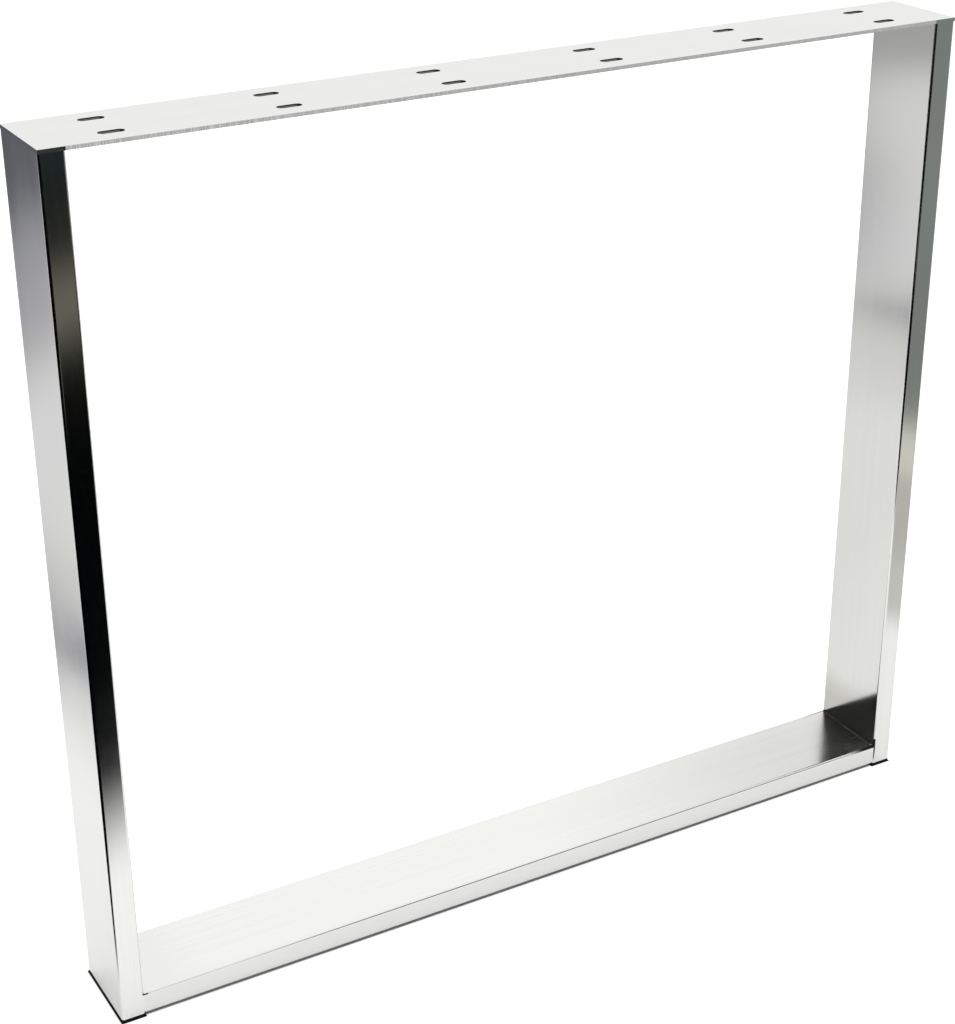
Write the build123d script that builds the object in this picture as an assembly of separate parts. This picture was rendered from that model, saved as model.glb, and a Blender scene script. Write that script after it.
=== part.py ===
from build123d import *
import os

# Table base: a closed rectangular frame of flat stainless tube that carries one end of a table top.
# Lengths are in millimetres. X runs along the frame, Y through its depth and Z up.
# The origin is on the floor, under the middle of the frame.

# Whole frame, over the plate and down to the floor
frame_width = 800.0
frame_height = 730.0

# Flat tube, the stock of both legs and of the lower rail
tube_width = 80.0
tube_thickness = 20.0
tube_wall = 1.5
tube_corner_radius = 2.0

# Top plate, as deep as the tube is wide
plate_thickness = 3.0

# Fixing slots, in two rows along the plate and mirrored about its middle
slot_length = 20.0
slot_width = 8.0
slot_pitch = 135.0
slot_to_leg = 30.0
slot_to_edge = 16.0
slot_to_middle = 10.0

# Foot caps: a flange under the leg, and a ribbed plug inside it
cap_flange_thickness = 3.0
cap_edge_radius = 0.8
plug_height = 24.0
plug_clearance = 0.9
plug_wall = 2.0
plug_web_thickness = 1.6
plug_web_count = 2
plug_lead_in = 1.0
fin_clearance = 0.05
fin_height = 2.4
fin_pitch = 4.6
fin_start = 2.4

# Weld metal
bead_size = 2.2
bead_crown = 0.25
bead_end_radius = 0.9

# Places that follow from the sizes above
leg_bottom = cap_flange_thickness
leg_top = frame_height - plate_thickness
leg_inner_x = frame_width / 2 - tube_thickness
leg_centre_x = frame_width / 2 - tube_thickness / 2
rail_top = leg_bottom + tube_thickness
rail_centre_z = leg_bottom + tube_thickness / 2
bore_width = tube_width - 2 * tube_wall
bore_thickness = tube_thickness - 2 * tube_wall
bore_corner_radius = max(tube_corner_radius - tube_wall, 0.0)


def rounded_outline(x_size, y_size, radius):
    """A rectangle with rounded corners, or a plain one where the radius is nil."""
    if radius > 0:
        return RectangleRounded(x_size, y_size, radius)
    return Rectangle(x_size, y_size)


def tube_outline():
    """Outside of the tube's section, thickness along X and width along Y."""
    return rounded_outline(tube_thickness, tube_width, tube_corner_radius)


def tube_section():
    """The tube's steel: its outside less its bore."""
    return tube_outline() - rounded_outline(bore_thickness, bore_width, bore_corner_radius)


def slot_places():
    """Centres of the slots, from the legs inwards, for both rows and both halves."""
    first_x = leg_inner_x - slot_to_leg - slot_length / 2
    last_x = slot_to_middle + slot_length / 2
    row_y = tube_width / 2 - slot_to_edge - slot_width / 2
    places = []
    x = first_x
    while x >= last_x:
        places += [(side * x, row * row_y) for side in (-1, 1) for row in (-1, 1)]
        x -= slot_pitch
    return places


def make_top_plate():
    """Flat bar with square ends, cut flush with the legs, and its fixing slots."""
    outline = Rectangle(frame_width, tube_width)
    slots = Locations(*slot_places()) * SlotOverall(slot_length, slot_width)
    plate = extrude(outline - slots, plate_thickness)
    return Pos(0, 0, leg_top) * plate


def make_leg(side):
    """Upright tube, cut square at both ends, on the left (-1) or the right (1)."""
    leg = extrude(tube_section(), leg_top - leg_bottom)
    return Pos(side * leg_centre_x, 0, leg_bottom) * leg


def rail_plane(x):
    """Plane across the lower rail at x, turned so that the tube lies on its wide side."""
    return Plane(origin=(x, 0, rail_centre_z), x_dir=(0, 0, 1), z_dir=(1, 0, 0))


def make_lower_rail():
    """The same tube laid flat between the legs, cut square against their inner faces."""
    return extrude(rail_plane(-leg_inner_x) * tube_section(), 2 * leg_inner_x)


def plug_outline(clearance):
    """Outline of the plug at a given clearance from the tube's bore."""
    return rounded_outline(bore_thickness - 2 * clearance, bore_width - 2 * clearance, bore_corner_radius)


def make_plug_body():
    """Hollow plug that stands in the tube, with webs across it and a lead-in at its mouth."""
    shaft_height = plug_height - plug_lead_in
    shaft = extrude(plug_outline(plug_clearance), shaft_height)
    shoulder = Pos(0, 0, shaft_height) * plug_outline(plug_clearance)
    mouth = Pos(0, 0, plug_height) * plug_outline(plug_clearance + plug_lead_in)
    body = shaft + loft([shoulder, mouth])
    hollow_thickness = bore_thickness - 2 * (plug_clearance + plug_wall)
    hollow_width = bore_width - 2 * (plug_clearance + plug_wall)
    cell_pitch = (hollow_width + plug_web_thickness) / (plug_web_count + 1)
    cell_width = cell_pitch - plug_web_thickness
    cell = extrude(Rectangle(hollow_thickness, cell_width), plug_height)
    return body - GridLocations(cell_pitch, cell_pitch, 1, plug_web_count + 1) * cell


def make_fin(base_z):
    """One barb round the plug: widest at its foot, and slimmer upwards, the way it goes in."""
    foot = Pos(0, 0, base_z) * plug_outline(fin_clearance)
    tip = Pos(0, 0, base_z + fin_height) * plug_outline(plug_clearance)
    barb = loft([foot, tip])
    core = extrude(Pos(0, 0, base_z) * plug_outline(plug_clearance + plug_wall / 2), fin_height)
    return barb - core


def make_foot_cap(side):
    """Plastic foot: flange as large as the tube, with its ribbed plug in one piece."""
    flange = extrude(tube_outline(), cap_flange_thickness)
    floor_edges = flange.edges().group_by(Axis.Z)[0]
    flange = fillet(floor_edges, cap_edge_radius)
    plug = make_plug_body()
    fin_z = fin_start
    while fin_z + fin_height <= plug_height - plug_lead_in:
        plug += make_fin(fin_z)
        fin_z += fin_pitch
    cap = flange + Pos(0, 0, cap_flange_thickness) * plug
    return Pos(side * leg_centre_x, 0, 0) * cap


def make_bead():
    """Fillet bead in the corner of the XZ plane, towards +X and +Z, along Y, with rounded ends."""
    mid = bead_size / 2 + bead_crown
    face_arc = ThreePointArc((bead_size, 0), (mid, mid), (0, bead_size))
    sides = Polyline((0, bead_size), (0, 0), (bead_size, 0))
    section = Plane.XZ * make_face(sides + face_arc)
    length = tube_width - 2 * tube_corner_radius
    bead = extrude(section, length / 2, both=True)
    end_edges = bead.edges().filter_by(GeomType.CIRCLE)
    return fillet(end_edges, bead_end_radius)


def make_corner_beads():
    """Beads in the frame's four inner corners."""
    lower = Pos(-leg_inner_x, 0, rail_top) * make_bead()
    upper = Pos(-leg_inner_x, 0, leg_top) * mirror(make_bead(), about=Plane.XY)
    left = [lower, upper]
    right = [mirror(bead, about=Plane.YZ) for bead in left]
    return Compound(children=left + right)


def make_ground_seams():
    """Weld metal in the grooves where the legs' rounded corners leave the rail's ends, ground flush."""
    front = -tube_width / 2
    square = Polyline((0, front + tube_corner_radius), (0, front), (tube_corner_radius, front))
    leg_round = CenterArc((tube_corner_radius, front + tube_corner_radius), tube_corner_radius, 180, 90)
    groove = make_face(square + leg_round)
    seam = extrude(groove, tube_thickness - 2 * tube_corner_radius)
    front_right = Pos(leg_inner_x, 0, leg_bottom + tube_corner_radius) * seam
    right = [front_right, mirror(front_right, about=Plane.XZ)]
    left = [mirror(seam, about=Plane.YZ) for seam in right]
    return Compound(children=left + right)


pieces = {
    "top_plate": make_top_plate(),
    "left_leg": make_leg(-1),
    "right_leg": make_leg(1),
    "lower_rail": make_lower_rail(),
    "left_foot_cap": make_foot_cap(-1),
    "right_foot_cap": make_foot_cap(1),
    "corner_beads": make_corner_beads(),
    "ground_seams": make_ground_seams(),
}

os.makedirs("parts", exist_ok=True)
for name, piece in pieces.items():
    export_step(piece, os.path.join("parts", name + ".step"))
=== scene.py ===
"""Looks for the table base: brushed steel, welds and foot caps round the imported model."""
import math
import random

import bmesh
import bpy
from mathutils import Matrix, Vector


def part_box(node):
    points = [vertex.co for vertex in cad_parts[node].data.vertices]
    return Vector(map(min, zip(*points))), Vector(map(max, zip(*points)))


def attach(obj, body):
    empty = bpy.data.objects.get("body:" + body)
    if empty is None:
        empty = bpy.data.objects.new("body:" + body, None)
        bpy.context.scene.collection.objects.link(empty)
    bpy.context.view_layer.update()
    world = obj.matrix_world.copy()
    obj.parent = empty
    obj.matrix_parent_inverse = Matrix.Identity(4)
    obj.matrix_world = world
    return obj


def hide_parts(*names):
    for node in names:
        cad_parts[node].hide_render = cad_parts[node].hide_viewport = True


bl_info = {
    "name": "Table Base Finish",
    "version": (1, 0, 0),
    "blender": (4, 5, 0),
    "location": "3D View > Sidebar > Table Base",
    "description": "Gives a welded flat-tube table base its brushed steel, welds, foot caps and studio",
    "category": "Object",
}

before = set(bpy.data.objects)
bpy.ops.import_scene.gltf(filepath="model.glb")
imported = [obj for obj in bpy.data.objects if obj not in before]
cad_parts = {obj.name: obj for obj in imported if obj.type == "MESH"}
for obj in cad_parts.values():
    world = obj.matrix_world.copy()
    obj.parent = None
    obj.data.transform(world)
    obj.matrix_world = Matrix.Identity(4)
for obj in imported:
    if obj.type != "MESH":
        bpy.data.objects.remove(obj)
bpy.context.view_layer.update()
MM = 0.001

# Places in the frame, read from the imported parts
PLATE_LOW, PLATE_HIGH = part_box("top_plate")
RAIL_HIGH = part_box("lower_rail")[1]
LEG_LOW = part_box("right_leg")[0]
INNER_X = float(RAIL_HIGH[0])
RAIL_TOP = float(RAIL_HIGH[2])
PLATE_UNDERSIDE = float(PLATE_LOW[2])
HALF_DEPTH = float(PLATE_HIGH[1])
HALF_WIDTH = float(PLATE_HIGH[0])
PLATE_TOP = float(PLATE_HIGH[2])
LEG_BOTTOM = float(LEG_LOW[2])

# Painted shade on steel, drawn black like scale: its share of the colour, and what it adds to the
# roughness
PAINTED_SHADE_COVER = 0.97
PAINTED_SHADE_DULLNESS = 0.4

# A rippled bead: steps of its crowned face, rings to a ripple, the ripples' height as a share of the
# bead's size, their lag as a share of the pitch, how far the size wanders, and the rounded end
FACE_STEPS = 8
RIPPLE_RINGS = 5
RIPPLE_HEIGHT = 0.16
RIPPLE_LAG = 0.6
BEAD_WANDER = 0.06
BEAD_END = 2.2 * MM
BEAD_SEED = 7

# Level directions of the photograph: away from its camera, and to its right
AHEAD = (0.492, 0.871, 0.0)
TO_THE_RIGHT = (0.871, -0.492, 0.0)

# Tones of the room over the floor, as polished steel sees them
HORIZON = (0.50, 0.52, 0.52)
WALLS = (0.97, 0.97, 0.965)
CEILING = (1.085, 1.08, 1.065)
DIM_SPOT = (0.80, 0.80, 0.785)
DARK_GAP = (0.001, 0.0009, 0.0005)
DARK_FRONT = (0.012, 0.016, 0.016)
DIM_RIGHT = (0.215, 0.235, 0.222)

# Tones of the white paper, from near the camera to far behind, and of its end at the right
PAPER_NEAR = (0.99, 0.99, 0.98)
PAPER_MIDDLE = (0.915, 0.915, 0.905)
PAPER_FAR = (0.77, 0.77, 0.75)
PAPER_CURL = (0.56, 0.56, 0.53)
PAPER_FOLD = (0.47, 0.47, 0.435)
PAPER_RIM = (0.62, 0.62, 0.555)
RIGHT_SHADOW = (0.20, 0.213, 0.20)
RIGHT_FLOOR = (0.235, 0.255, 0.242)

# Tones of the floor at the left and behind, and of the dark strip and the shade on it
LEFT_PAPER = (0.715, 0.715, 0.72)
LEFT_FLOOR = (0.33, 0.33, 0.36)
BACK_FLOOR = (0.165, 0.17, 0.20)
OUTER_FLOOR = (0.42, 0.42, 0.42)
FAR_FLOOR = (0.10, 0.105, 0.12)
STRIP_SHADE = (0.36, 0.355, 0.34)
STRIP_SKIRT = (0.22, 0.22, 0.24)
STRIP = (0.25, 0.25, 0.275)
LEFT_CORNER = (0.004, 0.004, 0.012)

# Tones of the dark floor in front
FRONT_FLOOR = (0.0004, 0.0008, 0.001)
FRONT_SPOT = (0.17, 0.165, 0.135)
FRONT_FAR = (0.010, 0.016, 0.016)
FRONT_LEFT = (0.0004, 0.0004, 0.001)


class Field:
    """An output of a shader node, on which sums are written as plain expressions."""

    def __init__(self, tree, socket=None):
        self.tree = tree
        self.socket = socket

    def make(self, kind, settings=None, sockets=None, output=0):
        """Adds any node: first its settings, then the values or links of its sockets."""
        node = self.tree.nodes.new(kind)
        for key, value in (settings or {}).items():
            if key == "stops":
                set_stops(node.color_ramp, value)
            else:
                setattr(node, key, value)
        for key, value in (sockets or {}).items():
            if isinstance(value, Field):
                self.tree.links.new(value.socket, node.inputs[key])
            else:
                node.inputs[key].default_value = value
        return Field(self.tree, node.outputs[output] if node.outputs else None)

    def math(self, operation, first, second):
        return self.make("ShaderNodeMath", {"operation": operation}, {0: first, 1: second})

    def __add__(self, other):
        return self.math("ADD", self, other)

    __radd__ = __add__

    def __sub__(self, other):
        return self.math("SUBTRACT", self, other)

    def __rsub__(self, other):
        return self.math("SUBTRACT", other, self)

    def __neg__(self):
        return self.math("SUBTRACT", 0.0, self)

    def __mul__(self, other):
        return self.math("MULTIPLY", self, other)

    __rmul__ = __mul__

    def __abs__(self):
        return self.math("ABSOLUTE", self, 0.0)

    def most(self, other):
        return self.math("MAXIMUM", self, other)

    def smooth(self, low, high):
        """Rises softly from 0 at low to 1 at high."""
        sockets = {"Value": self, "From Min": low, "From Max": high}
        return self.make("ShaderNodeMapRange", {"interpolation_type": "SMOOTHSTEP"}, sockets)

    def fade(self, low, high):
        """Falls softly from 1 at low to 0 at high."""
        return 1.0 - self.smooth(low, high)

    def between(self, low, high, softness):
        """1 between two values, with soft edges centred on them."""
        return self.smooth(low - softness, low + softness) * self.fade(high - softness, high + softness)

    def dot(self, direction):
        sockets = {0: self, 1: direction}
        return self.make("ShaderNodeVectorMath", {"operation": "DOT_PRODUCT"}, sockets, "Value")

    def stretched(self, factors):
        return self.make("ShaderNodeVectorMath", {"operation": "MULTIPLY"}, {0: self, 1: factors})

    def part(self, axis):
        return self.make("ShaderNodeSeparateXYZ", None, {0: self}, "XYZ".index(axis))

    def noise(self, factors, detail=2.0):
        """Soft noise with so many waves to a metre along each axis, from 0 to 1."""
        sockets = {"Vector": self.stretched(factors), "Scale": 1.0, "Detail": detail, "Roughness": 0.5}
        return self.make("ShaderNodeTexNoise", {"noise_dimensions": "3D"}, sockets)

    def blend(self, first, second):
        """The first colour where this field is 0, and the second where it is 1."""
        # The node's sockets for colours share their names with others, so they go by number
        sockets = {0: self, 6: rgba(first), 7: rgba(second)}
        return self.make("ShaderNodeMix", {"data_type": "RGBA"}, sockets, 2)

    def bump(self, depth, below=None):
        """A normal raised by this field, over another one where given."""
        sockets = {"Height": self, "Distance": depth, "Strength": 1.0}
        if below is not None:
            sockets["Normal"] = below
        return self.make("ShaderNodeBump", None, sockets)


def set_stops(ramp, stops):
    """Gives a colour ramp its places and colours."""
    while len(ramp.elements) < len(stops):
        ramp.elements.new(1.0)
    for element, (place, colour) in zip(ramp.elements, stops):
        element.position = place
        element.color = rgba(colour)


def rgba(colour):
    """A colour with its alpha, or the field that makes it."""
    if isinstance(colour, Field):
        return colour
    return (colour[0], colour[1], colour[2], 1.0)


def grey(level):
    return (level, level, level)


def shaded(colour, level):
    """A colour made darker or lighter."""
    return tuple(level * v for v in colour)


# Materials

def new_material(name):
    """A material with an empty tree, and a field to start its nodes from."""
    material = bpy.data.materials.new(name)
    material.use_nodes = True
    material.node_tree.nodes.clear()
    return material, Field(material.node_tree)


def close_material(start, shader):
    start.make("ShaderNodeOutputMaterial", None, {"Surface": shader})


def place_field(start):
    """Place on the object, in metres."""
    return start.make("ShaderNodeTexCoord", None, None, "Object")


def grain(place, axis, across, along):
    """Noise drawn out along one axis, with so many waves to a metre across and along it."""
    factors = [along if name == axis else across for name in "XYZ"]
    return place.noise(factors, detail=3.0)


def metal(start, colour, roughness, normal, axis, anisotropy):
    """Brushed metal whose shine spreads across the grain."""
    tangent = start.make("ShaderNodeTangent", {"direction_type": "RADIAL", "axis": axis})
    sockets = {
        "Base Color": colour,
        "Metallic": 1.0,
        "Roughness": roughness,
        "Anisotropic": anisotropy,
        "Normal": normal,
        "Tangent": tangent,
    }
    return start.make("ShaderNodeBsdfPrincipled", None, sockets)


def brushed_fields(start, steel, axis):
    """Place, colour, roughness and normal of steel brushed along one axis."""
    place = place_field(start)
    fine = grain(place, axis, across=1000.0 / steel.grain_width, along=5.0)
    bands = grain(place, axis, across=75.0, along=0.8)
    handling = grain(place, axis, across=9.0, along=9.0)
    streaks = (0.65 * fine + 0.35 * bands).smooth(0.25, 0.75)
    colour = streaks.blend(shaded(steel.colour, 0.95), tuple(steel.colour))
    roughness = steel.roughness + 0.04 * (fine - 0.5) + 0.03 * (bands - 0.5)
    roughness = roughness + 0.04 * handling.smooth(0.5, 0.8)
    normal = bands.bump(steel.waviness, fine.bump(steel.grain_depth))
    return place, colour, roughness, normal


def painted_shade_over(shade_and_scale, colour, roughness, weld):
    """Colour and roughness of steel where painted shade, black like scale, is laid on it."""
    return (PAINTED_SHADE_COVER * shade_and_scale).blend(colour, tuple(weld.black_of_shade_and_scale)), roughness + PAINTED_SHADE_DULLNESS * shade_and_scale


def leg_steel(name, steel, weld):
    """Upright flat tube, brushed along its length, with painted shade beside the seam at the right
    front.
    """
    material, start = new_material(name)
    place, colour, roughness, normal = brushed_fields(start, steel, "Z")
    side = place.part("X")
    height = place.part("Z")
    # The inner faces are a little darker just over the rail: partly the welds' heat tint, partly painted
    # shade in the corner
    inner_face = abs(side).fade(INNER_X + 0.3 * MM, INNER_X + 1.0 * MM)
    tint_and_shade_over_rail = inner_face * height.fade(RAIL_TOP + 20 * MM, RAIL_TOP + 60 * MM)
    heat_tint_and_shade = tuple(a * b for a, b in zip(steel.colour, weld.heat_tint_and_shade))
    colour = tint_and_shade_over_rail.blend(colour, heat_tint_and_shade)
    # Beside the rail's right end the front edge is painted black as shade, like scale, up to a little
    # over the rail
    front = place.part("Y").fade(2.0 * MM - HALF_DEPTH, 2.6 * MM - HALF_DEPTH)
    edge = front * side.between(0.0, INNER_X + 1.8 * MM, 0.3 * MM)
    beside_rail = (height.smooth(LEG_BOTTOM + 3 * MM, LEG_BOTTOM + 14 * MM)
                   * height.fade(RAIL_TOP + 6.5 * MM, RAIL_TOP + 8.0 * MM))
    colour, roughness = painted_shade_over(edge * beside_rail, colour, roughness, weld)
    close_material(start, metal(start, colour, roughness, normal, "Z", steel.anisotropy))
    return material


def rail_steel(name, steel, weld):
    """Flat tube lying on its side, with painted shade where the beads end on its front and back top
    edges.
    """
    material, start = new_material(name)
    place, colour, roughness, normal = brushed_fields(start, steel, "X")
    along = place.part("X")
    depth = abs(place.part("Y"))
    height = place.part("Z")
    # At the left a short dash of painted shade low on the rounded edge
    low_edge = (height.between(RAIL_TOP - 2.1 * MM, RAIL_TOP - 0.9 * MM, 0.3 * MM)
                * depth.smooth(HALF_DEPTH - 1.4 * MM, HALF_DEPTH - 0.8 * MM))
    left_end = (-along).smooth(INNER_X - 4.5 * MM, INNER_X - 3.0 * MM)
    # At the right a longer wedge of painted shade over the whole of it
    whole_edge = (height.smooth(RAIL_TOP - 2.4 * MM, RAIL_TOP - 1.6 * MM)
                  * depth.smooth(HALF_DEPTH - 2.6 * MM, HALF_DEPTH - 1.8 * MM))
    right_end = along.smooth(INNER_X - 32 * MM, INNER_X - 12 * MM)
    shade_and_scale = (low_edge * left_end).most(whole_edge * right_end)
    colour, roughness = painted_shade_over(shade_and_scale, colour, roughness, weld)
    # Near the legs it was brushed again by hand, and is duller
    near_legs = abs(along).smooth(INNER_X - 90 * MM, INNER_X - 20 * MM)
    roughness = roughness + steel.rebrushed * near_legs
    close_material(start, metal(start, colour, roughness, normal, "X", steel.anisotropy))
    return material


def plate_steel(name, steel, cut):
    """Flat bar: brushed on its faces and over the legs, raw on its cut edges and in the slots."""
    material, start = new_material(name)
    place, colour, roughness, normal = brushed_fields(start, steel, "X")
    facing = start.make("ShaderNodeNewGeometry", None, None, "True Normal")
    upright = abs(facing.part("Z")).fade(0.4, 0.6)
    end_face = abs(facing.part("X")).smooth(0.95, 0.99)
    # The raw edge ends over the legs in a ragged line
    ragged = abs(place.part("X")) + 1.5 * MM * place.noise((900.0, 900.0, 250.0))
    over_rail = ragged.fade(INNER_X, INNER_X + MM)
    inside = abs(place.part("Y")).fade(HALF_DEPTH - 5 * MM, HALF_DEPTH - 4 * MM)
    in_slot = upright * inside * over_rail
    edge = upright * over_rail * (1.0 - end_face)
    raw = edge.most(in_slot)
    # The cut leaves upright lines, and the edge is painted dimmer at the right, as shade
    lines = place.noise((1400.0, 1400.0, 60.0))
    dim_right = place.part("X").smooth(-0.30, 0.05)
    bright_cut = dim_right.blend(tuple(cut.edge_colour), shaded(cut.edge_colour, 0.8))
    cut_colour = lines.smooth(0.3, 0.7).blend(shaded(cut.edge_colour, 0.6), bright_cut)
    # The slots' walls are darker at their top rim, and painted dark as shade where they face left
    top_rim = place.part("Z").smooth(PLATE_TOP - 1.2 * MM, PLATE_TOP - 0.6 * MM)
    shade_and_scale = top_rim.most((-facing.part("X")).smooth(0.1, 0.6))
    slot_colour = shade_and_scale.blend(tuple(cut.slot_colour), shaded(cut.slot_colour, 0.06))
    raw_colour = in_slot.blend(cut_colour, slot_colour)
    colour = raw.blend(colour, raw_colour)
    roughness = roughness + raw * (cut.roughness - steel.roughness)
    polished = metal(start, colour, roughness, normal, "X", steel.anisotropy)
    rough_cut = start.make("ShaderNodeBsdfPrincipled", None, {
        "Base Color": raw_colour,
        "Metallic": 0.35,
        "Roughness": cut.roughness,
        "Normal": lines.bump(0.03 * MM),
    })
    close_material(start, start.make("ShaderNodeMixShader", None, {0: raw, 1: polished, 2: rough_cut}))
    return material


def bead_steel(name, weld):
    """Weld metal: clean on the upper beads, and on the lower ones with heat colours and black that is
    partly scale, partly painted shade.
    """
    material, start = new_material(name)
    place = place_field(start)
    depth = place.part("Y")
    height = place.part("Z")
    tint = place.noise((240.0, 320.0, 240.0), detail=3.0)
    stops = [(0.25, weld.straw), (0.45, weld.bead_colour), (0.78, weld.blue)]
    heat = start.make("ShaderNodeValToRGB", {"stops": stops}, {"Fac": tint})
    low = height.fade(0.1, 0.2)
    # Black that is partly scale and partly painted shade lies along the leg, at both ends, and less
    # thickly on all but the back
    from_leg = INNER_X - abs(place.part("X")) + 0.9 * MM * (tint - 0.5)
    toe = from_leg.fade(0.9 * MM, 1.6 * MM)
    ends = (abs(depth) + 2 * MM * tint).smooth(HALF_DEPTH - 5.5 * MM, HALF_DEPTH - 2.5 * MM)
    front = 0.82 * (depth + 20 * MM * tint).fade(25 * MM, 40 * MM)
    # In front a thin lip stays clean along the rail
    above_rail = height + 0.3 * MM * (tint - 0.5)
    lip = low * above_rail.fade(RAIL_TOP + 0.15 * MM, RAIL_TOP + 0.35 * MM)
    lip = lip * depth.fade(-5 * MM, 10 * MM)
    shade_and_scale = low * toe.most(ends).most(front) * (1.0 - lip)
    colour = low.blend(tuple(weld.lip), heat)
    colour = (0.95 * shade_and_scale).blend(colour, tuple(weld.black_of_shade_and_scale))
    colour = lip.blend(colour, shaded(weld.lip, 0.7))
    pits = place.noise((1500.0, 1500.0, 1500.0))
    shader = start.make("ShaderNodeBsdfPrincipled", None, {
        "Base Color": colour,
        "Metallic": 1.0 - 0.6 * shade_and_scale,
        "Roughness": 0.34 + 0.2 * tint + 0.3 * shade_and_scale,
        "Normal": pits.bump(0.04 * MM),
    })
    close_material(start, shader)
    return material


def ground_steel(name, steel, weld):
    """Weld metal ground flush with the tubes, with painted shade towards the top of the one at the right
    front.
    """
    material, start = new_material(name)
    place, colour, roughness, normal = brushed_fields(start, steel, "X")
    front_right = place.part("X").smooth(0.0, MM) * place.part("Y").fade(-MM, 0.0)
    # Painted shade in the groove of the seam at the right front, darkest towards its top
    shade_and_scale = front_right * place.part("Z").smooth(LEG_BOTTOM + 1 * MM, LEG_BOTTOM + 9 * MM)
    colour, roughness = painted_shade_over(shade_and_scale, colour, roughness, weld)
    close_material(start, metal(start, colour, roughness, normal, "X", steel.anisotropy))
    return material


def cap_plastic(name, cap):
    """Black plastic with the fine grain of its mould."""
    material, start = new_material(name)
    place = place_field(start)
    mould_grain = place.noise((2600.0, 2600.0, 2600.0))
    scuffs = place.noise((160.0, 160.0, 500.0), detail=3.0)
    shader = start.make("ShaderNodeBsdfPrincipled", None, {
        "Base Color": scuffs.smooth(0.45, 0.8).blend(tuple(cap.colour), shaded(cap.colour, 1.8)),
        "Roughness": cap.roughness + 0.12 * (scuffs - 0.5),
        "Specular IOR Level": cap.shine,
        "Normal": mould_grain.bump(0.012 * MM, scuffs.bump(0.01 * MM)),
    })
    close_material(start, shader)
    return material


def finish(node, material):
    """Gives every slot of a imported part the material."""
    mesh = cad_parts[node].data
    for index in range(len(mesh.materials)):
        mesh.materials[index] = material
    if not mesh.materials:
        mesh.materials.append(material)


# Pieces

def new_piece(name, shape, material, node):
    """Makes a shaped mesh a piece of the object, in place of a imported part."""
    mesh = bpy.data.meshes.new(name)
    shape.to_mesh(mesh)
    shape.free()
    mesh.materials.append(material)
    mesh.shade_smooth()
    piece = bpy.data.objects.new(name, mesh)
    bpy.context.scene.collection.objects.link(piece)
    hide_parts(node)
    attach(piece, "root")
    return piece


def bead_ring(shape, weld):
    """First ring of a bead in the XZ plane: the two walls and a crowned, crescent-shaped face."""
    ring = [shape.verts.new((0.0, 0.0, 0.0))]
    for step in range(FACE_STEPS + 1):
        share = step / FACE_STEPS
        rise = math.sin(math.pi * share)
        chord = Vector((1 - share, 0.0, share)) * weld.bead_size
        bulge = rise * weld.bead_crown
        lag = rise * weld.ripple_pitch * RIPPLE_LAG
        ring.append(shape.verts.new(chord + Vector((bulge, lag, bulge))))
    edges = [shape.edges.new((ring[i - 1], ring[i])) for i in range(len(ring))]
    return ring, edges


def end_size(distance):
    """How large the bead is so far from its end, which is rounded off."""
    part = min(max(distance / BEAD_END, 0.0), 1.0)
    return 0.3 + 0.7 * math.sqrt(1.0 - (1.0 - part) ** 2)


def add_bead(shape, weld, end_gap, draw):
    """One rippled bead along Y, in the corner that opens towards +X and +Z."""
    start = len(shape.verts)
    ring, edges = bead_ring(shape, weld)
    reach = HALF_DEPTH - end_gap
    bmesh.ops.translate(shape, verts=ring, vec=(0.0, -reach, 0.0))
    first = edges
    step = weld.ripple_pitch / RIPPLE_RINGS
    size = 1.0
    swell = 0.0
    phase = draw.uniform(0.0, 1.0)
    for index in range(int(2 * reach / step) + 1):
        if index % RIPPLE_RINGS == 0:
            swell = 0.6 * swell + draw.uniform(-BEAD_WANDER, BEAD_WANDER)
        along = index * step
        ripple = abs(math.sin(math.pi * (along / weld.ripple_pitch + phase)))
        target = (0.9 + RIPPLE_HEIGHT * ripple + swell) * end_size(min(along, 2 * reach - along))
        if index > 0:
            grown = bmesh.ops.extrude_edge_only(shape, edges=edges)["geom"]
            ring = [item for item in grown if isinstance(item, bmesh.types.BMVert)]
            edges = [item for item in grown if isinstance(item, bmesh.types.BMEdge)]
            bmesh.ops.translate(shape, verts=ring, vec=(0.0, step, 0.0))
        bmesh.ops.scale(shape, vec=(target / size, 1.0, target / size), verts=ring)
        size = target
    bmesh.ops.holes_fill(shape, edges=first + edges, sides=0)
    return list(shape.verts)[start:]


def make_beads(weld, material):
    """Beads in the frame's four inner corners, in one piece."""
    shape = bmesh.new()
    draw = random.Random(BEAD_SEED)
    for side, end_gap in ((-1, weld.left_end_gap), (1, weld.end_gap)):
        for corner_z, rise in ((RAIL_TOP, 1), (PLATE_UNDERSIDE, -1)):
            bead = add_bead(shape, weld, end_gap, draw)
            bmesh.ops.scale(shape, vec=(-side, 1.0, rise), verts=bead)
            bmesh.ops.translate(shape, vec=(side * INNER_X, 0.0, corner_z), verts=bead)
    bmesh.ops.recalc_face_normals(shape, faces=shape.faces)
    return new_piece("rippled_beads", shape, material, "corner_beads")


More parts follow.
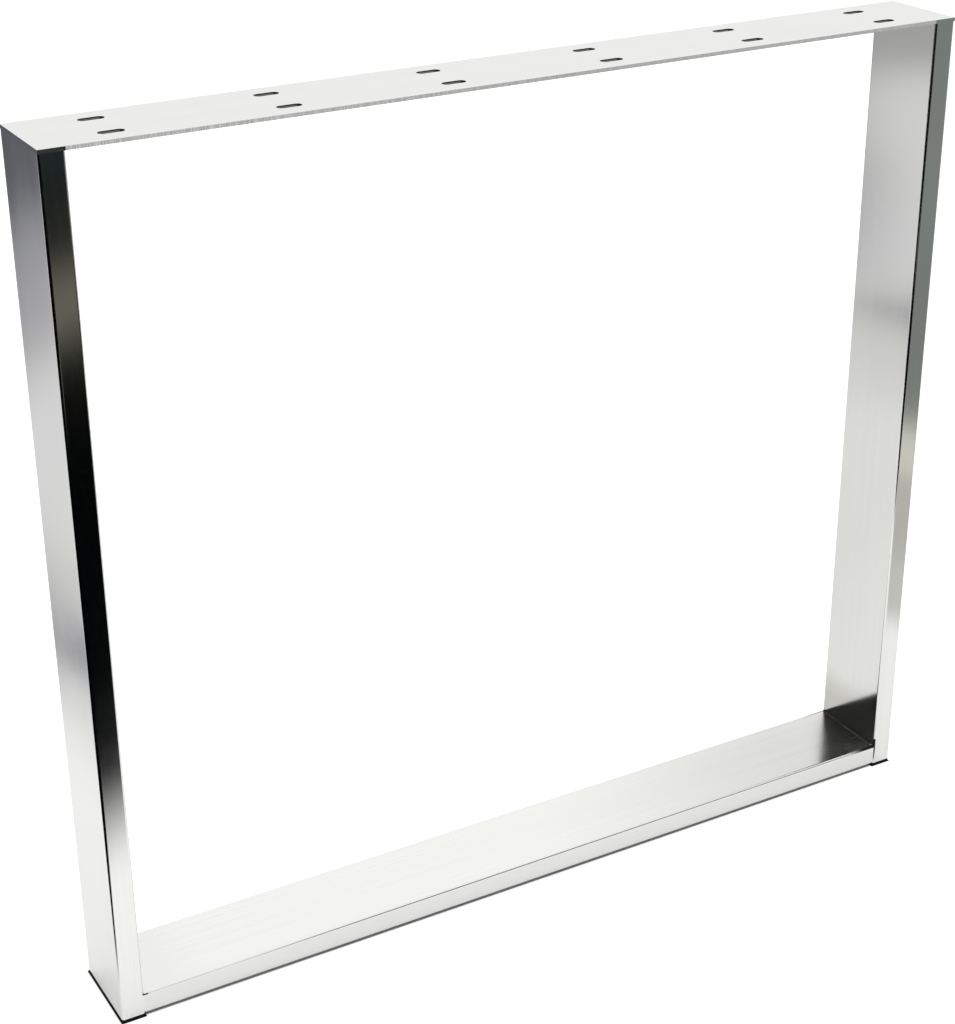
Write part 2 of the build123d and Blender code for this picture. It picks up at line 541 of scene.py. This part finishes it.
def make_seams(weld, material):
    """The ground seams, with the one at the right front left a little low towards its top."""
    shape = bmesh.new()
    shape.from_mesh(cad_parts["ground_seams"].data)
    bmesh.ops.remove_doubles(shape, verts=shape.verts, dist=0.001 * MM)
    front_right = []
    for face in shape.faces:
        middle = face.calc_center_median()
        if middle.x > 0 and middle.y < 0:
            front_right.append(face)
    edges = {edge for face in front_right for edge in face.edges}
    verts = {vert for face in front_right for vert in face.verts}
    low = Vector((0.0, -HALF_DEPTH, LEG_BOTTOM + 3 * MM))
    slope = Vector((0.0, weld.sink, RAIL_TOP - 2 * MM - low.z))
    outwards = slope.cross(Vector((1.0, 0.0, 0.0))).normalized()
    if outwards.y > 0:
        outwards.negate()
    cut = bmesh.ops.bisect_plane(shape, geom=list(verts) + list(edges) + front_right, plane_co=low,
                                 plane_no=outwards, clear_outer=True)["geom_cut"]
    rim = [item for item in cut if isinstance(item, bmesh.types.BMEdge)]
    bmesh.ops.holes_fill(shape, edges=rim, sides=0)
    bmesh.ops.recalc_face_normals(shape, faces=shape.faces)
    piece = new_piece("dressed_seams", shape, material, "ground_seams")
    piece.data.shade_flat()
    return piece


# Stage

def aim_camera(settings):
    """Camera at the photograph's place and angle."""
    level_part = math.cos(settings.camera_down)
    forward = Vector((math.sin(settings.camera_azimuth) * level_part,
                      math.cos(settings.camera_azimuth) * level_part,
                      -math.sin(settings.camera_down)))
    level = forward.cross(Vector((0.0, 0.0, 1.0))).normalized()
    upright = level.cross(forward)
    roll = settings.camera_roll
    right = level * math.cos(roll) + upright * math.sin(roll)
    up = upright * math.cos(roll) - level * math.sin(roll)
    data = bpy.data.cameras.new("camera")
    data.sensor_width = 36.0
    data.lens = settings.camera_lens
    data.clip_start = 10 * MM
    camera = bpy.data.objects.new("camera", data)
    turn = Matrix((right, up, -forward)).transposed().to_4x4()
    camera.matrix_world = Matrix.Translation(settings.camera_place) @ turn
    bpy.context.scene.collection.objects.link(camera)
    bpy.context.scene.camera = camera


def compass(azimuth, elevation):
    """Unit vector at an azimuth from +Y towards +X and a height over the horizon, in degrees."""
    a = math.radians(azimuth)
    e = math.radians(elevation)
    return (math.sin(a) * math.cos(e), math.cos(a) * math.cos(e), math.sin(e))


def patch(direction, azimuth, elevation, inner, outer):
    """1 within the inner angle of a place in the sky, and 0 beyond the outer one."""
    nearness = direction.dot(compass(azimuth, elevation))
    return nearness.smooth(math.cos(math.radians(outer)), math.cos(math.radians(inner)))


def room_colour(direction):
    """What polished steel sees over the floor: a bright room, dark in front and at the back left."""
    height = direction.part("Z")
    colour = height.smooth(-0.02, 0.20).blend(HORIZON, WALLS)
    colour = height.smooth(0.30, 0.55).blend(colour, CEILING)
    colour = patch(direction, azimuth=48, elevation=33, inner=3, outer=14).blend(colour, DIM_SPOT)
    colour = patch(direction, azimuth=-47, elevation=36, inner=36, outer=50).blend(colour, DARK_GAP)
    front = (-direction.dot(AHEAD)).smooth(0.10, 0.30) * height.fade(0.35, 0.75)
    front = front * direction.part("X").smooth(0.27, 0.35)
    right = direction.dot((1.265, 0.205, 0.0)).smooth(0.35, 0.60)
    return front.blend(colour, right.blend(DARK_FRONT, DIM_RIGHT))


def floor_colour(place):
    """What polished steel sees on the floor: white paper, and the room's dimmer floor round it."""
    ahead = place.dot(AHEAD)
    across = place.dot(TO_THE_RIGHT)
    behind = place.part("Y")
    nearness = -ahead
    leftness = -place.part("X")
    # The paper, dimmer away from the lamp and ending to the right
    near = ahead.fade(0.15, 0.45)
    colour = ahead.smooth(-0.34, -0.12).blend(PAPER_NEAR, PAPER_MIDDLE)
    colour = ahead.smooth(0.08, 0.40).blend(colour, PAPER_FAR)
    colour = (across.smooth(0.61, 0.69) * near).blend(colour, PAPER_CURL)
    colour = (across.smooth(0.74, 0.86) * near).blend(colour, PAPER_FOLD)
    colour = (across.smooth(1.00, 1.06) * near).blend(colour, PAPER_RIM)
    colour = (across.smooth(1.12, 1.26) * near).blend(colour, RIGHT_SHADOW)
    colour = (across.smooth(1.6, 2.6) * near).blend(colour, RIGHT_FLOOR)
    # Behind and to the left it ends too, and the floor beyond is bluish grey
    beyond = place.dot((0.69, 0.72, 0.0))
    outwards = place.dot((-0.72, 0.69, 0.0))
    left = leftness.smooth(0.40, 0.60)
    rim = beyond - 0.16 * outwards.smooth(1.6, 2.4)
    middle = left * beyond.smooth(0.05, 0.25) * outwards.fade(1.45, 1.65)
    colour = middle.blend(colour, LEFT_PAPER)
    colour = (left * rim.smooth(0.36, 0.56)).blend(colour, LEFT_FLOOR)
    colour = (left * beyond.smooth(0.60, 1.05)).blend(colour, BACK_FLOOR)
    colour = (left * outwards.smooth(2.45, 2.85)).blend(colour, OUTER_FLOOR)
    colour = (left * beyond.smooth(0.76, 0.90)).blend(colour, FAR_FLOOR)
    # A dark strip lies there, soft on both sides
    side = place.dot((0.98, -0.21, 0.0)) + 0.699
    run = behind.smooth(0.22, 0.32) * behind.fade(0.90, 1.14)
    shade = leftness.smooth(0.05, 0.40) * leftness.fade(0.50, 0.75) * behind.smooth(0.55, 0.75)
    colour = (0.3 * shade).blend(colour, STRIP_SHADE)
    colour = (0.32 * run * side.between(-0.10, 0.085, 0.06)).blend(colour, STRIP_SKIRT)
    colour = (run * side.between(-0.030, 0.029, 0.009)).blend(colour, STRIP)
    # To the left the paper ends in line with the frame's left front corner
    past_corner = (place.part("X") + behind + HALF_WIDTH + HALF_DEPTH) * math.sqrt(0.5)
    outside = leftness.smooth(HALF_WIDTH + 20 * MM, HALF_WIDTH + 100 * MM)
    colour = (outside * past_corner.fade(-0.10, 0.0)).blend(colour, LEFT_CORNER)
    # In front the room is dark, with a faint spot
    dark = nearness.between(1.34, 1.56, 0.09).blend(FRONT_FLOOR, FRONT_SPOT)
    dark = nearness.smooth(1.6, 2.0).blend(dark, FRONT_FAR)
    dark = outside.blend(dark, FRONT_LEFT)
    front = (across + 0.8 * ahead).smooth(0.85, 1.15).blend(dark, DIM_RIGHT)
    return ahead.fade(-0.50, -0.36).blend(colour, front)


def make_world(settings):
    """White to the camera, a studio to polished steel, and an even grey light to all else."""
    world = bpy.data.worlds.new("studio")
    world.use_nodes = True
    world.node_tree.nodes.clear()
    start = Field(world.node_tree)
    direction = start.make("ShaderNodeTexCoord", None, None, "Generated")
    even = rgba(grey(settings.world_level))
    plain = start.make("ShaderNodeBackground", None, {"Color": even, "Strength": 1.0})
    room = start.make("ShaderNodeBackground", None, {"Color": room_colour(direction), "Strength": 1.0})
    white = start.make("ShaderNodeBackground", None, {"Color": rgba(grey(1.0)), "Strength": 1.0})
    glossy = start.make("ShaderNodeLightPath", None, None, "Is Glossy Ray")
    seen = start.make("ShaderNodeLightPath", None, None, "Is Camera Ray")
    through = start.make("ShaderNodeLightPath", None, None, "Is Transmission Ray")
    light = start.make("ShaderNodeMixShader", None, {0: glossy, 1: plain, 2: room})
    sky = start.make("ShaderNodeMixShader", None, {0: seen.most(through), 1: light, 2: white})
    start.make("ShaderNodeOutputWorld", None, {"Surface": sky})
    bpy.context.scene.world = world


def floor_material(settings):
    """Paper that reads as white to the camera, with painted shadow under the frame and close round its
    feet, and carries the studio's tones for polished steel.
    """
    material, start = new_material("paper_floor")
    place = place_field(start)
    side = abs(place.part("X"))
    depth = abs(place.part("Y"))
    glossy = start.make("ShaderNodeLightPath", None, None, "Is Glossy Ray")
    seen = start.make("ShaderNodeLightPath", None, None, "Is Camera Ray")
    # The gap under the frame is all but closed, so hardly any light gets in, and the floor there is
    # painted dark as shadow
    under = (depth.fade(HALF_DEPTH - 2.5 * MM, HALF_DEPTH - 0.5 * MM)
             * side.fade(INNER_X + 18 * MM, INNER_X + 20 * MM))
    # Close round the feet the floor is painted dark too, as contact shadow
    feet = (depth.fade(HALF_DEPTH + 0.2 * MM, HALF_DEPTH + 1.2 * MM)
            * side.between(INNER_X - 1 * MM, HALF_WIDTH + 1 * MM, 0.5 * MM))
    shown = feet.blend(under.blend(grey(0.9), grey(0.32)), grey(0.01))
    colour = seen.blend(glossy.blend(grey(0.8), floor_colour(place)), shown)
    open_floor = 1.0 - under.most(feet)
    lift = (seen * (settings.floor_lift * open_floor)).most(glossy * 0.1)
    paper = start.make("ShaderNodeBsdfDiffuse", None, {"Color": colour})
    glow = start.make("ShaderNodeEmission", None, {"Color": colour, "Strength": lift})
    close_material(start, start.make("ShaderNodeAddShader", None, {0: paper, 1: glow}))
    return material


def make_floor(settings):
    """Pale floor that keeps the object's shadow, a hair under the feet."""
    shape = bmesh.new()
    bmesh.ops.create_grid(shape, x_segments=1, y_segments=1, size=settings.floor_size / 2)
    bmesh.ops.translate(shape, verts=shape.verts, vec=(0.0, 0.0, -0.05 * MM))
    mesh = bpy.data.meshes.new("floor")
    shape.to_mesh(mesh)
    shape.free()
    mesh.materials.append(floor_material(settings))
    floor = bpy.data.objects.new("floor", mesh)
    bpy.context.scene.collection.objects.link(floor)


def make_lamp(settings):
    """One large soft lamp overhead."""
    data = bpy.data.lights.new("overhead_lamp", "AREA")
    data.shape = "SQUARE"
    data.size = settings.lamp_size
    data.energy = settings.lamp_power
    lamp = bpy.data.objects.new("overhead_lamp", data)
    lamp.location = (0.0, 0.0, settings.lamp_height)
    lamp.visible_glossy = False
    bpy.context.scene.collection.objects.link(lamp)


# Settings

class SteelSettings(bpy.types.PropertyGroup):
    colour: bpy.props.FloatVectorProperty(
        name="Steel colour", description="Colour of the brushed steel in white light",
        default=(0.85, 0.85, 0.84), subtype="COLOR", size=3, min=0.0, max=1.0)
    roughness: bpy.props.FloatProperty(
        name="Roughness", description="How dull the brushed faces are", default=0.115, min=0.0, max=1.0)
    anisotropy: bpy.props.FloatProperty(
        name="Spread across the grain", default=0.70, min=0.0, max=1.0,
        description="How much wider the shine is across the brushing than along it")
    grain_width: bpy.props.FloatProperty(
        name="Grain width in mm", description="Width of one brushed line", default=1.0, min=0.1, max=5.0)
    grain_depth: bpy.props.FloatProperty(
        name="Grain depth", description="Depth of the brushed lines",
        default=0.0015 * MM, min=0.0, unit="LENGTH")
    rebrushed: bpy.props.FloatProperty(
        name="Rebrushed by the welds", default=0.14, min=0.0, max=1.0,
        description="How much duller the rail is near the legs, where it was brushed by hand")
    waviness: bpy.props.FloatProperty(
        name="Waviness", description="Height of the broad waves that rolling leaves in the faces",
        default=0.005 * MM, min=0.0, unit="LENGTH")


class CutSettings(bpy.types.PropertyGroup):
    edge_colour: bpy.props.FloatVectorProperty(
        name="Cut edge colour", description="Colour of the plate's raw cut edges",
        default=(0.82, 0.82, 0.81), subtype="COLOR", size=3, min=0.0, max=1.0)
    slot_colour: bpy.props.FloatVectorProperty(
        name="Slot wall colour", description="Colour of the walls inside the fixing slots",
        default=(0.24, 0.22, 0.20), subtype="COLOR", size=3, min=0.0, max=1.0)
    roughness: bpy.props.FloatProperty(
        name="Roughness", description="How dull the cut edges are", default=0.6, min=0.0, max=1.0)


class WeldSettings(bpy.types.PropertyGroup):
    bead_size: bpy.props.FloatProperty(
        name="Bead size", description="Leg length of the fillet beads",
        default=2.0 * MM, min=1.0 * MM, unit="LENGTH")
    bead_crown: bpy.props.FloatProperty(
        name="Bead crown", description="How far the bead's face stands proud",
        default=0.15 * MM, unit="LENGTH")
    ripple_pitch: bpy.props.FloatProperty(
        name="Ripple pitch", description="Distance from one ripple to the next",
        default=2.4 * MM, min=1.0 * MM, unit="LENGTH")
    end_gap: bpy.props.FloatProperty(
        name="End gap", description="How far the right beads stop short of the tube's edges",
        default=2.6 * MM, unit="LENGTH")
    left_end_gap: bpy.props.FloatProperty(
        name="Left end gap", description="How far the left beads stop short of the tube's edges",
        default=7.0 * MM, unit="LENGTH")
    sink: bpy.props.FloatProperty(
        name="Seam sink", description="How far the front right seam lies low at its top",
        default=0.4 * MM, unit="LENGTH")
    bead_colour: bpy.props.FloatVectorProperty(
        name="Bead colour", description="Middle heat colour of a lower bead",
        default=(0.22, 0.19, 0.185), subtype="COLOR", size=3, min=0.0, max=1.0)
    straw: bpy.props.FloatVectorProperty(
        name="Straw tint", description="Heat colour of the cooler parts of a bead",
        default=(0.14, 0.10, 0.07), subtype="COLOR", size=3, min=0.0, max=1.0)
    blue: bpy.props.FloatVectorProperty(
        name="Blue tint", description="Heat colour of the hotter parts of a bead",
        default=(0.09, 0.10, 0.13), subtype="COLOR", size=3, min=0.0, max=1.0)
    lip: bpy.props.FloatVectorProperty(
        name="Clean colour", default=(0.62, 0.60, 0.58), subtype="COLOR", size=3, min=0.0, max=1.0,
        description="Colour of the upper beads, and of a lower one's thin lip on the rail")
    # The darkening over the rail is partly the welds' heat tint and partly painted shade in the corner
    heat_tint_and_shade: bpy.props.FloatVectorProperty(
        name="Warmed", description="How much of its colour the leg's steel keeps near the hot welds",
        default=(0.74, 0.73, 0.70), subtype="COLOR", size=3, min=0.0, max=1.0)
    # This black serves as scale on the lower beads and also as painted shade in the seams' grooves and
    # at the rail's ends
    black_of_shade_and_scale: bpy.props.FloatVectorProperty(
        name="Scale", description="Colour of the burnt scale where a weld ends or lies sunk",
        default=(0.008, 0.007, 0.006), subtype="COLOR", size=3, min=0.0, max=1.0)


class CapSettings(bpy.types.PropertyGroup):
    colour: bpy.props.FloatVectorProperty(
        name="Cap colour", description="Colour of the foot caps' plastic",
        default=(0.004, 0.004, 0.0045), subtype="COLOR", size=3, min=0.0, max=1.0)
    roughness: bpy.props.FloatProperty(
        name="Roughness", description="How dull the plastic is", default=0.8, min=0.0, max=1.0)
    shine: bpy.props.FloatProperty(
        name="Shine", description="Specular level of the plastic, where 0.5 is that of a common one",
        default=0.1, min=0.0, max=1.0)


class StageSettings(bpy.types.PropertyGroup):
    camera_place: bpy.props.FloatVectorProperty(
        name="Camera place", description="Where the camera stands",
        default=(-0.81804, -1.37459, 1.10559), subtype="TRANSLATION", size=3)
    camera_azimuth: bpy.props.FloatProperty(
        name="Camera azimuth", description="Turn of the view from +Y towards +X",
        default=math.radians(29.4784), subtype="ANGLE")
    camera_down: bpy.props.FloatProperty(
        name="Camera tilt", description="Angle at which the camera looks down",
        default=math.radians(25.2616), subtype="ANGLE")
    camera_roll: bpy.props.FloatProperty(
        name="Camera roll", description="Turn of the camera about its own view",
        default=math.radians(-0.4123), subtype="ANGLE")
    camera_lens: bpy.props.FloatProperty(
        name="Lens in mm", description="Focal length on a 36 mm sensor", default=73.4868, min=1.0)
    floor_size: bpy.props.FloatProperty(
        name="Floor size", description="Side of the square floor", default=8.0, min=1.0, unit="LENGTH")
    floor_lift: bpy.props.FloatProperty(
        name="Floor lift", description="How far the floor is held up to white where it is seen",
        default=0.5, min=0.0, max=1.0)
    world_level: bpy.props.FloatProperty(
        name="World level", description="Brightness of the even light from all round",
        default=0.85, min=0.0)
    lamp_power: bpy.props.FloatProperty(
        name="Lamp power", description="Power of the overhead lamp in watts",
        default=16.0, min=0.0, unit="POWER")
    lamp_size: bpy.props.FloatProperty(
        name="Lamp size", description="Side of the square lamp", default=3.0, min=0.1, unit="LENGTH")
    lamp_height: bpy.props.FloatProperty(
        name="Lamp height", description="Height of the lamp over the floor",
        default=2.5, min=0.5, unit="LENGTH")


class TableBaseSettings(bpy.types.PropertyGroup):
    steel: bpy.props.PointerProperty(
        name="Steel", description="Brushed steel", type=SteelSettings)
    cut: bpy.props.PointerProperty(
        name="Cut edges", description="Raw cut edges of the plate", type=CutSettings)
    weld: bpy.props.PointerProperty(
        name="Welds", description="Beads and ground seams", type=WeldSettings)
    cap: bpy.props.PointerProperty(
        name="Foot caps", description="Plastic foot caps", type=CapSettings)
    stage: bpy.props.PointerProperty(
        name="Stage", description="Camera, floor and light", type=StageSettings)


# Operators

class TABLEBASE_OT_tubes(bpy.types.Operator):
    """Brushes the two legs and the lower rail along their length"""
    bl_idname = "table_base.tubes"
    bl_label = "Brush the Tubes"

    def execute(self, context):
        settings = context.scene.table_base
        brushed_upright = leg_steel("leg_steel", settings.steel, settings.weld)
        finish("left_leg", brushed_upright)
        finish("right_leg", brushed_upright)
        finish("lower_rail", rail_steel("rail_steel", settings.steel, settings.weld))
        return {"FINISHED"}


class TABLEBASE_OT_plate(bpy.types.Operator):
    """Finishes the top plate: brushed faces, raw cut edges and slot walls"""
    bl_idname = "table_base.plate"
    bl_label = "Finish the Top Plate"

    def execute(self, context):
        settings = context.scene.table_base
        finish("top_plate", plate_steel("plate_steel", settings.steel, settings.cut))
        return {"FINISHED"}


class TABLEBASE_OT_beads(bpy.types.Operator):
    """Lays rippled weld beads in the four inner corners"""
    bl_idname = "table_base.beads"
    bl_label = "Lay the Beads"

    def execute(self, context):
        weld = context.scene.table_base.weld
        make_beads(weld, bead_steel("bead_steel", weld))
        return {"FINISHED"}


class TABLEBASE_OT_seams(bpy.types.Operator):
    """Dresses the ground seams at the ends of the lower rail"""
    bl_idname = "table_base.seams"
    bl_label = "Dress the Seams"

    def execute(self, context):
        settings = context.scene.table_base
        make_seams(settings.weld, ground_steel("ground_steel", settings.steel, settings.weld))
        return {"FINISHED"}


class TABLEBASE_OT_caps(bpy.types.Operator):
    """Gives the foot caps their moulded plastic"""
    bl_idname = "table_base.caps"
    bl_label = "Finish the Foot Caps"

    def execute(self, context):
        plastic = cap_plastic("cap_plastic_black", context.scene.table_base.cap)
        finish("left_foot_cap", plastic)
        finish("right_foot_cap", plastic)
        return {"FINISHED"}


class TABLEBASE_OT_stage(bpy.types.Operator):
    """Sets up the camera, the pale floor and the light"""
    bl_idname = "table_base.stage"
    bl_label = "Set the Stage"

    def execute(self, context):
        stage = context.scene.table_base.stage
        aim_camera(stage)
        make_world(stage)
        make_floor(stage)
        make_lamp(stage)
        context.scene.view_settings.view_transform = "Standard"
        return {"FINISHED"}


STEPS = (
    TABLEBASE_OT_stage,
    TABLEBASE_OT_tubes,
    TABLEBASE_OT_plate,
    TABLEBASE_OT_beads,
    TABLEBASE_OT_seams,
    TABLEBASE_OT_caps,
)


class TABLEBASE_PT_panel(bpy.types.Panel):
    """Lists the table base's steps and settings"""
    bl_idname = "TABLEBASE_PT_panel"
    bl_label = "Table Base"
    bl_space_type = "VIEW_3D"
    bl_region_type = "UI"
    bl_category = "Table Base"

    def draw(self, context):
        settings = context.scene.table_base
        for step in STEPS:
            self.layout.operator(step.bl_idname)
        for group in (settings.steel, settings.cut, settings.weld, settings.cap, settings.stage):
            box = self.layout.box()
            for name in group.bl_rna.properties.keys():
                if name not in ("rna_type", "name"):
                    box.prop(group, name)


CLASSES = (SteelSettings, CutSettings, WeldSettings, CapSettings, StageSettings, TableBaseSettings,
           *STEPS, TABLEBASE_PT_panel)


def register():
    for cls in CLASSES:
        bpy.utils.register_class(cls)
    bpy.types.Scene.table_base = bpy.props.PointerProperty(type=TableBaseSettings)


def unregister():
    del bpy.types.Scene.table_base
    for cls in reversed(CLASSES):
        bpy.utils.unregister_class(cls)


def main():
    """Runs every step in order."""
    register()
    bpy.ops.table_base.stage()
    bpy.ops.table_base.tubes()
    bpy.ops.table_base.plate()
    bpy.ops.table_base.beads()
    bpy.ops.table_base.seams()
    bpy.ops.table_base.caps()


if __name__ == "__main__":
    main()
